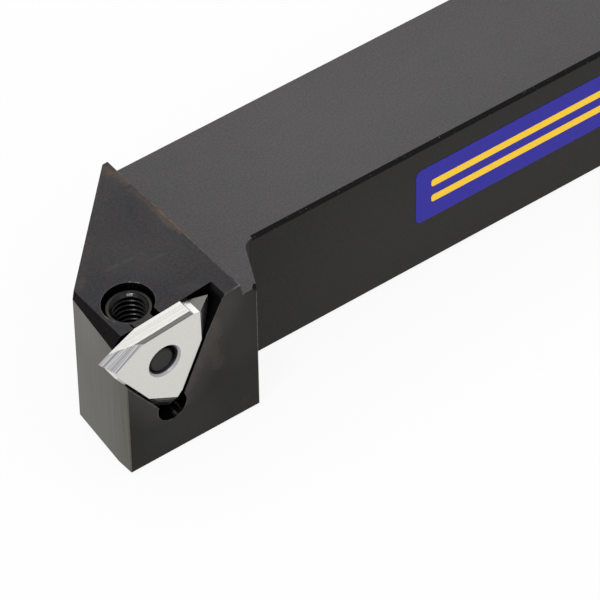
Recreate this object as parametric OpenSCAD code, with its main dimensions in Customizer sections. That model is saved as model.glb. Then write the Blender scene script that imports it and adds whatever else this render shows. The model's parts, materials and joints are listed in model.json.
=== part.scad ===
// Right-hand external turning tool: a square shank, an offset head with a raised, tilted
// top, and a triangular insert on edge in an open V seat. A pin through the insert's hole
// draws it down into the seat, pulled by a screw from below.
// Origin: on the bottom face, on the shank's centre line, where the head meets the shank.
// +X runs to the shank's rear end, +Z is up, and the insert is on the -Y side.

/* [Shank] */
// Width of the shank
shank_w = 25; // [20:1:32]
// Height of the shank
shank_h = 25; // [24:1:32]
// Length from the cutting tip to the rear end
overall_l = 150; // [110:1:200]
// Chamfer along the shank's long edges
edge_c = 0.6; // [0.2:0.1:1.5]
// Chamfer round the rear end
end_c = 1; // [0.4:0.1:3]

/* [Head] */
// Length from the head's front corner to the start of the shank
head_l = 30; // [29:0.5:36]
// How far the head stands out from the shank's side
head_out = 8.8; // [8.2:0.1:12]
// How far the raised top's rear edge stands above the shank
head_rise = 2.2; // [1:0.1:4]
// Fall of the raised top towards the front, in degrees
top_tilt = 5; // [2:0.5:7]
// Distance of the raised top's rear edge from the start of the shank
ridge_in = 8.7; // [7:0.1:9.2]
// Run of the sloping step behind the raised top
step_run = 0.55; // [0.2:0.05:1.2]
// Relief of the front face, in degrees
front_relief = 5; // [2:0.5:7]
// Distance of the front facet's upper edge from the front corner
facet_in = 2.05; // [1.4:0.05:2.4]
// Fall of the front facet, in degrees
facet_fall = 43; // [35:1:55]
// Distance of the slanted far side from the start of the shank
cut_in = 9.65; // [9.4:0.05:12]
// Slant of the far side, in degrees
cut_angle = 45; // [40:1:48]
// Lean of the rear shoulder, in degrees
shoulder_lean = 25.4; // [10:0.2:30]
// Fillet where the shoulder runs into the shank
shoulder_r = 2.4; // [1:0.1:3]
// Width of the strip of the front face that is relieved beside the insert
relieved_w = 3.1; // [2.6:0.1:3.4]
// How far that strip falls back at the front corner
relieved_in = 0.4; // [0.2:0.05:0.5]
// Radius on the head's other vertical corners
break_r = 0.3; // [0.1:0.05:0.6]
// Chamfer along the head's lower edges
foot_c = 0.4; // [0.2:0.1:1]
// Cut across the head's upper rear corner
corner_cut = 0.9; // [0.4:0.1:1.2]

/* [Insert] */
// Diameter of the circle inscribed in the insert
ic = 12.7; // [12.2:0.1:13.2]
// Thickness of the insert
insert_t = 3.18; // [2.6:0.02:3.6]
// Diameter of the insert's hole
hole_d = 5.16; // [5.1:0.02:5.6]
// Chamfer round the hole
hole_c = 0.35; // [0.1:0.05:0.5]
// How much shorter each tip is than the corner of the full triangle
tip_short = 1.1; // [0.9:0.05:1.3]
// Turn of each tip from that corner, in degrees
tip_turn = 2; // [1.2:0.1:2.6]
// Slope of the ridge behind each tip, in degrees
ridge_slope = 26.3; // [23:0.1:29]
// Angle between the two flanks of a ridge, in degrees
profile_angle = 62; // [56:1:66]
// Slope of the end facet under each tip, in degrees
end_slope = 49; // [47:0.5:51]
// Length of the end facet
end_l = 2.8; // [2.5:0.05:3]
// Length of the land beside the end facet
land_run = 0.57; // [0.3:0.01:0.8]
// Fall of that land
land_fall = 0.15; // [0.05:0.01:0.2]
// Length of the notch between the land and the side
notch_run = 0.75; // [0.4:0.05:1]
// Width of the edge bevel on the insert's face
bevel_face = 0.36; // [0.2:0.02:0.5]
// Width of the edge bevel on the insert's sides
bevel_side = 0.54; // [0.3:0.02:0.8]

/* [Pocket] */
// Distance of the insert's middle plane from the shank's far side
tip_f = 32; // [31.8:0.05:32.2]
// Distance of the insert's centre from the head's front corner
insert_in = 7.44; // [7:0.02:8.4]
// Gap between the insert and its seat faces
seat_gap = 0.02; // [0.01:0.01:0.05]
// Length of rear seat above the middle of the insert's side
seat_reach = 4.3; // [3.6:0.1:5]
// Lean of the wall above the rear seat, in degrees
wall_lean = 3; // [2:0.5:5]
// Chamfer on the upper corner of that wall
wall_c = 0.6; // [0.3:0.05:1]
// Diameter of the relief hole at the foot of the V
relief_d = 5.2; // [4.6:0.1:5.6]
// Distance of the relief hole's centre above the corner of the V
relief_up = 2.8; // [2.5:0.05:3]
// Depth of the relief hole behind the pocket's floor
relief_in = 0.6; // [0.3:0.1:0.8]

/* [Bore] */
// Diameter of the round hole in the raised top
mouth_d = 8.16; // [8:0.02:8.6]
// Depth of that round hole
mouth_l = 3.4; // [2:0.1:5]
// Wall between the round hole and the pocket
bore_wall = 0.7; // [0.5:0.05:1]
// Width of the slot for the nose and the pin
slot_w = 4.8; // [4.6:0.05:5.2]
// Radial clearance of the barrel in its guide bore
slide_gap = 0.06; // [0.04:0.01:0.1]
// Gap under the barrel
under_gap = 0.3; // [0.1:0.05:0.6]

/* [Draw pin] */
// Outer diameter of the barrel
barrel_d = 7; // [6.8:0.1:7.4]
// Depth of the barrel's top below the raised top
barrel_sink = 1; // [0.8:0.05:1.4]
// Length of the barrel
barrel_l = 10.4; // [9.4:0.1:11]
// Drilled diameter of the barrel's thread
tap_d = 5; // [5:0.05:5.2]
// Chamfer at both ends of that thread
tap_c = 0.55; // [0.3:0.05:0.7]
// Diameter of the pin in the insert's hole
pin_d = 4.3; // [4:0.05:4.3]
// Depth of the pin's end below the insert's face
pin_sink = 0.6; // [0.3:0.05:1]
// Chamfer on the pin's end
pin_c = 0.3; // [0.1:0.05:0.5]
// Distance of the pin's axis below the centre of the hole
pin_down = 0.3; // [0.26:0.01:0.33]
// Distance of the pin's axis in front of the centre of the hole
pin_lead = 0.16; // [0:0.01:0.16]
// Width of the nose between the barrel and the pocket
nose_w = 3.4; // [2.4:0.1:3.8]
// Gap between the nose's end and the insert
nose_gap = 0.25; // [0.15:0.05:0.4]

/* [Clamp screw] */
// Diameter of the screw's shank
screw_d = 5.9; // [5.6:0.05:6]
// Diameter of the core of the screw's threaded end
core_d = 4.88; // [4.7:0.02:4.88]
// Diameter of the hole round the screw's shank
screw_hole_d = 6.6; // [6.3:0.05:6.8]
// Diameter of the screw's head
head_d = 9; // [8.4:0.1:9.2]
// Height of the screw's head
head_h = 3.5; // [3:0.1:4]
// Radial gap round the head
head_gap = 0.25; // [0.1:0.05:0.4]
// Height of the head's lowest edge above the bottom face
head_sink = 0.7; // [0.3:0.05:1.5]
// Height of the screw's upper end above the insert's centre
screw_top = 0.2; // [-1:0.1:0.6]
// Chamfer on the screw's ends
screw_c = 0.4; // [0.2:0.05:0.6]
// Hexagon socket in the head, across flats
head_key = 4; // [3:0.5:5]
// Depth of the socket in the head
head_key_l = 2.2; // [1.5:0.1:2.6]
// Hexagon socket in the upper end, across flats
top_key = 3; // [2:0.5:3]
// Depth of the socket in the upper end
top_key_l = 2.5; // [1.5:0.1:3]

/* [Hidden] */
$fn = 72;
arc_steps = 12;
over = 1;
far = 60;
steel_black = "#373635";
steel_dark = "#2b2b2c";
carbide = "#c8c8c0";

// Head and shank
side_y = -shank_w / 2;
head_y = side_y - head_out;
front_x = -head_l;
shoulder_x = -shoulder_r / tan(45 + shoulder_lean / 2);
outer_x = shoulder_x - head_out * tan(shoulder_lean);
step_x = step_run - ridge_in;

// Insert: its middle, its faces and the height at which its side is flush with the top
insert_x = front_x + insert_in;
insert_z = top_z(insert_x) - ic / 2 / cos(top_tilt);
mid_y = shank_w / 2 - tip_f;
near_y = mid_y - insert_t / 2;
pocket_y = mid_y + insert_t / 2 + seat_gap;
side_w = ic / 2;
tip_angle = 150 + tip_turn;
tip_at = turned([ic - tip_short, 0], tip_angle);
ridge_end = tip_at + (side_w - tip_at[1]) * [1 / tan(ridge_slope), 1];
land_in = turned(tip_at + turned([end_l, 0], -end_slope), -120);
land_out = land_in + [-land_run, land_fall];
end_x = insert_x + turned(tip_at, top_tilt)[0] + overall_l;

// Bore, barrel and screw: heights are along the bore's axis from the insert's centre
bore_y = pocket_y + bore_wall + mouth_d / 2;
barrel_top = side_w - barrel_sink;
barrel_foot = barrel_top - barrel_l;
guide_foot = barrel_foot - under_gap;
screw_foot = (head_sink + (head_d / 2 + pin_lead) * sin(top_tilt) - insert_z) / cos(top_tilt);
screw_seat = screw_foot + head_h + seat_gap;

// Height of the raised top at a distance x
function top_z(x) = shank_h + head_rise + (x + ridge_in) * tan(top_tilt);

// A point turned about the origin by an angle
function turned(p, a) = [p[0] * cos(a) - p[1] * sin(a), p[0] * sin(a) + p[1] * cos(a)];

// Points of an arc of radius r that rounds the corner b between a and c
function rounded(a, b, c, r) =
    let (u = (a - b) / norm(a - b), v = (c - b) / norm(c - b), half = acos(u * v) / 2)
    let (m = b + (u + v) / norm(u + v) * r / sin(half))
    let (p = b + u * r / tan(half) - m, q = b + v * r / tan(half) - m)
    let (start = atan2(p[1], p[0]), turn = (atan2(q[1], q[0]) - start + 540) % 360 - 180)
    [for (i = [0 : arc_steps]) m + turned([r, 0], start + turn * i / arc_steps)];

// Stands its children at the insert's middle, turned with the raised top
module tilted() {
    translate([insert_x, mid_y, insert_z]) rotate([0, -top_tilt, 0]) children();
}

// Stands its children on the bore's axis, level with the insert's middle
module on_bore() {
    tilted() translate([-pin_lead, bore_y - mid_y, 0]) children();
}

// Extrudes an outline in X and Z from y_low to y_high
module slab(y_low, y_high) {
    translate([0, y_high, 0]) rotate([90, 0, 0]) linear_extrude(y_high - y_low) children();
}

// Point on the front face's line at a distance from the front corner
function front_at(y) = [front_x + tan(front_relief) * y, head_y + y];

// Outline of shank and head from above
module plan() {
    outer = [outer_x, head_y];
    inner = [shoulder_x, side_y];
    front = [front_x + relieved_in, head_y];
    relieved = front_at(relieved_w);
    far_corner = [-cut_in, -side_y];
    lean = tan(front_relief);
    steep = tan(cut_angle);
    slant_x = (front_x + lean * (cut_in * steep - side_y - head_y)) / (1 - lean * steep);
    slant = [slant_x, (slant_x + cut_in) * steep - side_y];
    rear_near = [end_x, side_y];
    rear_far = [end_x, -side_y];
    polygon(concat(
        [relieved],
        rounded(relieved, front, outer, break_r),
        rounded(front, outer, inner, break_r),
        rounded(outer, inner, rear_near, shoulder_r),
        [rear_near - [end_c, 0], rear_near + [0, end_c]],
        [rear_far - [0, end_c], rear_far - [end_c, 0]],
        rounded(rear_far, far_corner, slant, break_r),
        rounded(far_corner, slant, relieved, break_r)
    ));
}

// Outline of shank and head from the side
module profile() {
    facet = [front_x + facet_in, top_z(front_x + facet_in)];
    facet_run = facet_in + over;
    polygon([
        [front_x - over, -over],
        [end_x + over, -over],
        [end_x + over, shank_h],
        [step_x, shank_h],
        [-ridge_in, shank_h + head_rise],
        facet,
        facet - facet_run * [1, tan(facet_fall)]
    ]);
}

// Bar of square section, standing on its edge, that cuts a chamfer from p to q
module chamfer(p, q, size) {
    run = q - p;
    translate(p) rotate([0, 0, atan2(run[1], run[0])]) rotate([90, 0, 90])
        linear_extrude(norm(run)) polygon([[size, 0], [0, size], [-size, 0], [0, -size]]);
}

// Chamfers along the shank's and the head's horizontal edges
module edge_chamfers() {
    for (y = [side_y, -side_y]) chamfer([y < 0 ? 0 : -cut_in, y, 0], [end_x + over, y, 0], edge_c);
    chamfer([step_x, -side_y, shank_h], [end_x + over, -side_y, shank_h], edge_c);
    chamfer([0, side_y, shank_h], [end_x + over, side_y, shank_h], edge_c);
    for (z = [0, shank_h]) chamfer([end_x, side_y - over, z], [end_x, -side_y + over, z], end_c);
    translate([outer_x, head_y, shank_h]) for (turn = [0, 180]) rotate([turn, 0, 0])
        cylinder(r1 = corner_cut, r2 = 0, h = corner_cut, $fn = 4);
    chamfer([front_x - over, head_y, 0], [outer_x + over, head_y, 0], foot_c);
    chamfer([front_x + relieved_in, head_y, 0], concat(front_at(relieved_w), 0), foot_c);
    chamfer(concat(front_at(0), 0), concat(front_at(head_l), 0), foot_c);
}

// Outline of the pocket round the insert, from the insert's middle
module pocket_outline() {
    gap_r = side_w + seat_gap;
    seat_end = turned([gap_r, seat_reach], -30);
    wall_slope = 60 - wall_lean;
    wall_top = seat_end + (side_w - wall_c - seat_end[1]) * [1 / tan(wall_slope), 1];
    polygon([
        [0, -2 * gap_r],
        seat_end,
        wall_top,
        wall_top + (wall_c + 2 * over) * [1, 1],
        turned([2 * ic, 0], 120),
        turned([2 * gap_r, 0], -90) + turned([2 * ic, 0], 120)
    ]);
}

// Everything that is milled away for the insert
module pocket() {
    tilted() {
        slab(head_y - mid_y - over, pocket_y - mid_y) pocket_outline();
        slab(head_y - mid_y - over, pocket_y - mid_y + relief_in)
            translate([0, relief_up - 2 * (side_w + seat_gap)]) circle(d = relief_d);
    }
}

// Stepped bore for barrel and screw, and the slot that opens it towards the pocket
module bore() {
    slot_end = pocket_y - bore_y - over;
    on_bore() {
        translate([0, 0, side_w - mouth_l]) cylinder(d = mouth_d, h = mouth_l + over);
        translate([0, 0, guide_foot]) cylinder(d = barrel_d + 2 * slide_gap, h = side_w - guide_foot);
        translate([0, 0, screw_seat - over]) cylinder(d = screw_hole_d, h = guide_foot - screw_seat + 2 * over);
        translate([0, 0, screw_seat - head_h - far]) cylinder(d = head_d + 2 * head_gap, h = head_h + far);
        slab(slot_end, 0) translate([0, -pin_down]) {
            circle(d = slot_w);
            translate([-slot_w / 2, 0]) square([slot_w, side_w + pin_down + over]);
        }
    }
}

// Shank and head, milled from one bar
module holder() color(steel_black) difference() {
    intersection() {
        linear_extrude(shank_h + head_rise + over) plan();
        slab(-far, far) profile();
    }
    edge_chamfers();
    pocket();
    bore();
}

// Outline of the insert, with the three tips cut
module insert_outline() {
    third = [tip_at, ridge_end, [land_out[0] - notch_run, side_w], land_out, land_in];
    polygon([for (i = [0 : 2]) for (p = third) turned(p, -120 * i)]);
}

// Everything that is ground off beside one ridge, down to its two flanks
module ridge_flanks() {
    half = tan(profile_angle / 2);
    reach = insert_t / half;
    translate([tip_at[0], 0, tip_at[1]]) rotate([0, -ridge_slope, 0])
        translate([-over, 0, 0]) rotate([90, 0, 90]) linear_extrude(2 * ic) {
            for (side = [-1, 1]) polygon([
                [0, 0],
                [side * reach * half, -reach],
                [side * 2 * insert_t, -reach],
                [side * 2 * insert_t, over],
                [0, over]
            ]);
        }
}

// The bevel along one edge of the insert's face
module edge_bevel() {
    low = [-insert_t / 2, side_w - bevel_face];
    run = [bevel_side, bevel_face];
    translate([-ic, 0, 0]) rotate([90, 0, 90]) linear_extrude(2 * ic)
        polygon([low - run, low + 2 * run, low + [-bevel_side, 2 * bevel_face]]);
}

// Triangular indexable insert, with three ridged tips
module insert() color(carbide) tilted() difference() {
    slab(-insert_t / 2, insert_t / 2) insert_outline();
    for (i = [0 : 2]) rotate([0, 120 * i, 0]) {
        ridge_flanks();
        edge_bevel();
    }
    slab(-insert_t, insert_t) circle(d = hole_d);
    for (side = [0, 180]) rotate([90, 0, side]) translate([0, 0, insert_t / 2 - hole_c])
        cylinder(d1 = hole_d, d2 = hole_d + 2 * (hole_c + over), h = hole_c + over);
}

// Threaded barrel with the nose and the pin that reach into the pocket
module draw_pin() color(steel_dark) on_bore() difference() {
    pin_end = near_y + pin_sink - bore_y;
    nose_end = pocket_y + nose_gap - bore_y;
    union() {
        translate([0, 0, barrel_foot]) cylinder(d = barrel_d, h = barrel_l);
        slab(nose_end, 0) translate([-nose_w / 2, -pin_down]) square([nose_w, barrel_top + pin_down]);
        translate([0, 0, -pin_down]) rotate([90, 0, 0]) {
            cylinder(d = pin_d, h = -pin_end - pin_c);
            translate([0, 0, -pin_end - pin_c]) cylinder(d1 = pin_d, d2 = pin_d - 2 * pin_c, h = pin_c);
        }
    }
    translate([0, 0, barrel_foot - over]) cylinder(d = tap_d, h = barrel_l + 2 * over);
    translate([0, 0, barrel_top - tap_c]) cylinder(d1 = tap_d, d2 = tap_d + 2 * (tap_c + over), h = tap_c + over);
    translate([0, 0, barrel_foot - over]) cylinder(d1 = tap_d + 2 * (tap_c + over), d2 = tap_d, h = tap_c + over);
}

// Screw with a hexagon socket at both ends, its head seated in the holder's foot
module clamp_screw() color(steel_dark) on_bore() difference() {
    union() {
        translate([0, 0, screw_foot]) cylinder(d1 = head_d - 2 * screw_c, d2 = head_d, h = screw_c);
        translate([0, 0, screw_foot + screw_c]) cylinder(d = head_d, h = head_h - screw_c);
        translate([0, 0, screw_foot + screw_c]) cylinder(d = screw_d, h = guide_foot - screw_foot - screw_c);
        translate([0, 0, screw_foot + screw_c]) cylinder(d = core_d, h = screw_top - screw_foot - 2 * screw_c);
        translate([0, 0, screw_top - screw_c]) cylinder(d1 = core_d, d2 = core_d - 2 * screw_c, h = screw_c);
    }
    translate([0, 0, screw_foot - over])
        cylinder(d = head_key / cos(30), h = head_key_l + over, $fn = 6);
    translate([0, 0, screw_top - top_key_l])
        cylinder(d = top_key / cos(30), h = top_key_l + over, $fn = 6);
}

holder();
insert();
draw_pin();
clamp_screw();
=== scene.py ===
"""Turning tool holder with a ridged insert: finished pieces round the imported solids.

Sizes are in millimetres, in the frame of the solids: X along the shank to its rear end, Z up, the
insert on the -Y side. Finished meshes are in metres.
"""

from __future__ import annotations

import json
import logging
import math
from dataclasses import dataclass
from enum import Enum
from typing import Any, Callable, Optional, Union

import bmesh
import bpy
from mathutils import Matrix, Vector

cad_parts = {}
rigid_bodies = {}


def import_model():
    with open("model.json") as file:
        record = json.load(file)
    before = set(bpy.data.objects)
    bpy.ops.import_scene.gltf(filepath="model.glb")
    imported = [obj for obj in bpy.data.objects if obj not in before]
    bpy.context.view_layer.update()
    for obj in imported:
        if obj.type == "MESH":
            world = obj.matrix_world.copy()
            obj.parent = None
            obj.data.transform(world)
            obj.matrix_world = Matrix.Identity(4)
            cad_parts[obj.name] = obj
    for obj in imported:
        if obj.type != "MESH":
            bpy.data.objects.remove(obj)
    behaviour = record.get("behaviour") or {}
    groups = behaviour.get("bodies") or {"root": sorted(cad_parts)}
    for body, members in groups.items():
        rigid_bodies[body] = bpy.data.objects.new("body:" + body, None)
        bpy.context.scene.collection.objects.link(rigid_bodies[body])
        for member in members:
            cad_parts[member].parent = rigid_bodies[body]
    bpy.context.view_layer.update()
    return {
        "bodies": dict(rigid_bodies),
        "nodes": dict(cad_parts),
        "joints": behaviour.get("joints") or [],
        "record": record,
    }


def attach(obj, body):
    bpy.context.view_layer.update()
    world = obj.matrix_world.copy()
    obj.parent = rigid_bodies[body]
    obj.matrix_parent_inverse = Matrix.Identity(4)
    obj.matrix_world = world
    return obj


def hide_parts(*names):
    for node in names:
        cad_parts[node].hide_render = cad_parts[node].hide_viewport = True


LOG = logging.getLogger("tool_holder")
MM = 0.001
UP = Vector((0.0, 0.0, 1.0))
WHITE = (1.0, 1.0, 1.0, 1.0)
WELD = 0.001 * MM
LEVEL = math.radians(0.2)
SHARP = math.radians(30.0)

Colour = tuple[float, float, float]
Point = tuple[float, float, float]
Flat = tuple[float, float]
Face = bpy.types.MeshPolygon


# Names in the frame


class Body(Enum):
    """Bodies of the frame that pieces ride on."""

    HOLDER = "holder"
    PIN = "draw_pin"
    SCREW = "clamp_screw"


class Slot(Enum):
    """Material slots of the record."""

    BLACK_STEEL = "black_steel"
    CARBIDE = "carbide"
    DARK_STEEL = "dark_steel"


# Node trees as expressions


class Socket:
    """One output of a node, used in plain Python expressions."""

    def __init__(self, graph: Graph, source: bpy.types.NodeSocket) -> None:
        """Keeps the graph and the output."""
        self.graph = graph
        self.source = source

    def __add__(self, other: Operand) -> Socket:
        """Adds a number or an output."""
        return self.graph.math("ADD", self, other)

    def __sub__(self, other: Operand) -> Socket:
        """Takes a number or an output away."""
        return self.graph.math("SUBTRACT", self, other)

    def __rsub__(self, other: Operand) -> Socket:
        """Takes this output away from a number."""
        return self.graph.math("SUBTRACT", other, self)

    def __mul__(self, other: Operand) -> Socket:
        """Multiplies by a number or an output."""
        return self.graph.math("MULTIPLY", self, other)

    def __truediv__(self, other: Operand) -> Socket:
        """Divides by a number or an output."""
        return self.graph.math("DIVIDE", self, other)

    def __rtruediv__(self, other: Operand) -> Socket:
        """Divides a number by this output."""
        return self.graph.math("DIVIDE", other, self)

    __radd__ = __add__
    __rmul__ = __mul__

    def clamped(self) -> Socket:
        """Holds the value between 0 and 1."""
        return self.graph.math("ADD", self, 0.0, use_clamp=True)

    def swing(self, amount: float) -> Socket:
        """Turns noise between 0 and 1 into a swing about 0, of an amount from end to end."""
        return (self - 0.5) * amount

    def sibling(self, name: str) -> Socket:
        """Gives another output of the same node."""
        return Socket(self.graph, self.graph.find(self.source.node.outputs, name))


Operand = Union[Socket, float]


class Graph:
    """Builds the nodes of one tree, for a material or for geometry."""

    def __init__(self, tree: bpy.types.NodeTree) -> None:
        """Keeps the tree."""
        self.tree = tree

    @staticmethod
    def find(sockets: Any, name: Union[str, int]) -> bpy.types.NodeSocket:
        """Finds a socket that is in use.

        Args:
            sockets: The inputs or outputs of a node.
            name: The socket's name, or its place among the sockets.

        Returns:
            The socket.
        """
        if isinstance(name, int):
            return sockets[name]
        return next(s for s in sockets if s.name == name and s.enabled)

    def make(self, kind: str, sockets: Optional[dict] = None, **settings: Any) -> Socket:
        """Adds a node of any kind.

        Args:
            kind: The node's type.
            sockets: Values or links of its inputs, by name or place.
            settings: The node's own settings, which are set first.

        Returns:
            The node's first output in use, or its first input where it has no output.
        """
        node = self.tree.nodes.new(kind)
        for key, value in settings.items():
            setattr(node, key, value)
        for key, value in (sockets or {}).items():
            target = self.find(node.inputs, key)
            if isinstance(value, Socket):
                self.tree.links.new(value.source, target)
            else:
                target.default_value = value
        ends = [s for s in node.outputs if s.enabled] or list(node.inputs)
        return Socket(self, ends[0])

    def math(self, operation: str, a: Operand, b: Operand = 0.0, use_clamp: bool = False) -> Socket:
        """Adds a Math node for two values."""
        return self.make("ShaderNodeMath", {0: a, 1: b}, operation=operation, use_clamp=use_clamp)

    def vector(self, operation: str, *values: Any, out: str = "Vector") -> Socket:
        """Adds a Vector Math node.

        Args:
            operation: The node's operation.
            values: Values or outputs for its inputs, in their order.
            out: The output that is wanted, "Vector" or "Value".

        Returns:
            That output.
        """
        names = ("Scale",) if operation == "SCALE" else (1, 2)
        sockets = dict(zip((0, *names), values))
        return self.make("ShaderNodeVectorMath", sockets, operation=operation).sibling(out)


@dataclass(frozen=True)
class Mark:
    """A tint, a worn line, a paler stretch, a painted highlight or a painted shade line along a straight
    run on the surface, in millimetres.
    """

    start: Point
    end: Point
    reach: float
    strength: float


@dataclass(frozen=True)
class Rim:
    """A painted highlight line round the mouth of a hole, where its broken edge would catch light, in
    millimetres.
    """

    centre: Point
    axis: Point
    radius: float
    reach: float
    strength: float


class Surface(Graph):
    """Shader nodes of one material, with lengths in millimetres."""

    def __init__(self, name: str) -> None:
        """Starts the material with the place on the surface."""
        self.material = bpy.data.materials.new(name)
        self.material.use_nodes = True
        super().__init__(self.material.node_tree)
        self.tree.nodes.clear()
        self.place = self.make("ShaderNodeTexCoord").sibling("Object")
        self.place = self.vector("SCALE", self.place, 1.0 / MM)

    def lay(self, across: float, along: float) -> Socket:
        """Gives coordinates that follow the tool marks.

        Args:
            across: Scale across the marks, per millimetre.
            along: Scale along them, per millimetre.

        Returns:
            A vector output.
        """
        marks = self.make("ShaderNodeUVMap", uv_map="lay")
        return self.vector("MULTIPLY", marks, (across / MM, along / MM, 0.0))

    def noise(self, vector: Socket, scale: float = 1.0, detail: float = 2.0, rough: float = 0.5) -> Socket:
        """Gives noise between 0 and 1 at a vector."""
        sockets = {"Vector": vector, "Scale": scale, "Detail": detail, "Roughness": rough}
        return self.make("ShaderNodeTexNoise", sockets)

    def fade(self, value: Socket, full: float, none: float) -> Socket:
        """Gives 1 where a value is at full, and eases to 0 at none."""
        sockets = {"Value": value, "From Min": none, "From Max": full}
        return self.make("ShaderNodeMapRange", sockets, interpolation_type="SMOOTHSTEP")

    def mixed(self, factor: Operand, a: Any, b: Any, blend: str = "MIX") -> Socket:
        """Mixes two colours."""
        sockets = {"Factor": factor, "A": a, "B": b}
        return self.make("ShaderNodeMix", sockets, data_type="RGBA", blend_type=blend)

    def times(self, colour: Any, shade: Socket) -> Socket:
        """Multiplies a colour by a colour or a shade."""
        return self.mixed(1.0, colour, shade, "MULTIPLY")

    def bump(self, height: Socket, strength: float, depth: float = 0.02) -> Socket:
        """Turns a height into a normal."""
        return self.make("ShaderNodeBump", {"Strength": strength, "Distance": depth * MM, "Height": height})

    def near(self, mark: Mark, stray: Optional[Socket] = None) -> Socket:
        """Gives 1 on a mark's line, and eases to 0 at its reach.

        Args:
            mark: The mark.
            stray: What is added to the distance from the line, for a ragged edge.

        Returns:
            A value output.
        """
        run = Vector(mark.end) - Vector(mark.start)
        offset = self.vector("SUBTRACT", self.place, tuple(mark.start))
        share = self.vector("DOT_PRODUCT", offset, tuple(run / run.length_squared), out="Value").clamped()
        foot = self.vector("SCALE", tuple(run), share)
        away = self.vector("LENGTH", self.vector("SUBTRACT", offset, foot), out="Value")
        return self.fade(away + stray if stray else away, 0.0, mark.reach)

    def near_rim(self, rim: Rim) -> Socket:
        """Gives 1 on a rim, and eases to 0 at its reach.

        Args:
            rim: The rim.

        Returns:
            A value output.
        """
        offset = self.vector("SUBTRACT", self.place, tuple(rim.centre))
        along = self.vector("DOT_PRODUCT", offset, tuple(rim.axis), out="Value")
        across = self.vector("LENGTH", self.vector("CROSS_PRODUCT", offset, tuple(rim.axis)), out="Value")
        along, across = self.math("ABSOLUTE", along), self.math("ABSOLUTE", across - rim.radius)
        return self.fade(self.math("MAXIMUM", along, across), 0.0, rim.reach)

    def finish(self, **sockets: Any) -> bpy.types.Material:
        """Closes the material with its shader.

        Args:
            sockets: Inputs of the principled shader, with underscores for spaces.

        Returns:
            The material.
        """
        values = {name.replace("_", " "): value for name, value in sockets.items()}
        shader = self.make("ShaderNodeBsdfPrincipled", values)
        self.make("ShaderNodeOutputMaterial", {"Surface": shader})
        return self.material


# Finishes


@dataclass(frozen=True)
class BlackOxide:
    """Blackened milled or ground steel."""

    name: str
    colour: Colour
    roughness: float = 0.5
    streaks: float = 0.12
    streak_width: float = 0.17
    mottle: float = 0.3
    grain: float = 0.8
    drift: float = 0.02
    specks: float = 0.0
    pale: tuple[Mark, ...] = ()
    tints: tuple[Mark, ...] = ()
    # Rubbed lines, and painted highlights where an edge or a hole's wall would catch light.
    wear_and_highlight: tuple[Mark, ...] = ()
    # Painted highlight lines round the mouths of holes.
    rims: tuple[Rim, ...] = ()
    tint_colour: Colour = (0.108, 0.077, 0.06)
    tint_stray: float = 1.8
    # Colour of the paler stretches, rubbed lines, painted highlights and bright specks.
    wear_and_highlight_colour: Colour = (0.3, 0.29, 0.27)

    def build(self) -> bpy.types.Material:
        """Builds the material.

        Returns:
            The material.
        """
        s = Surface(self.name)
        streak = s.noise(s.lay(1.0 / self.streak_width, 0.06), detail=3.0)
        cloud = s.noise(s.place, scale=0.16, detail=4.0, rough=0.6)
        grit = s.noise(s.place, scale=3.0, detail=3.0, rough=0.7)
        shade = 1.0 + streak.swing(self.streaks) + cloud.swing(self.mottle) + grit.swing(self.grain)
        cool = (1.0 - self.drift, 1.0, 1.0 + self.drift, 1.0)
        warm = (1.0 + self.drift, 1.0 - self.drift * 0.5, 1.0, 1.0)
        warmth = s.fade(s.noise(s.place, scale=0.3, detail=3.0), full=0.62, none=0.38)
        colour = s.times((*self.colour, 1.0), s.mixed(warmth, cool, warm))
        colour = s.times(colour, shade)
        return s.finish(
            Base_Color=self.marked(s, colour, grit),
            Metallic=1.0,
            Roughness=self.roughness + cloud.swing(0.06) + grit.swing(0.1),
            Normal=s.bump(grit * 0.6 + streak * 0.4, strength=0.2),
        )

    def marked(self, s: Surface, colour: Socket, grit: Socket) -> Socket:
        """Adds paler stretches, heat tints, rubbed lines, painted highlights and bright specks.

        Args:
            s: The surface.
            colour: Its colour so far.
            grit: Its fine noise.

        Returns:
            The colour with the marks.
        """
        blotch = s.noise(s.place, scale=1.7, detail=4.0, rough=0.7)
        broken = s.fade(s.noise(s.place, scale=0.8, detail=3.0, rough=0.7), full=0.62, none=0.36)
        tint, wear_and_highlight = (*self.tint_colour, 1.0), (*self.wear_and_highlight_colour, 1.0)
        for mark in self.pale:
            colour = s.mixed(s.near(mark) * mark.strength, colour, wear_and_highlight)
        for mark in self.tints:
            stain = s.near(mark, blotch.swing(mark.reach * self.tint_stray)) * (0.2 + grit * 1.6)
            colour = s.mixed((stain * mark.strength).clamped(), colour, tint)
        # Rubbed lines and painted highlights, broken up by noise.
        for mark in self.wear_and_highlight:
            wear_and_highlight_amount = s.near(mark) * (0.25 + broken) * mark.strength
            colour = s.mixed(wear_and_highlight_amount.clamped(), colour, wear_and_highlight)
        # Painted highlight round each hole's mouth.
        for rim in self.rims:
            wear_and_highlight_amount = s.near_rim(rim) * broken * rim.strength
            colour = s.mixed(wear_and_highlight_amount.clamped(), colour, wear_and_highlight)
        if self.specks:
            bright = s.fade(s.noise(s.place, scale=2.2, rough=0.6), full=0.76, none=0.66)
            colour = s.mixed(bright * self.specks, colour, wear_and_highlight)
        return colour


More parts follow.
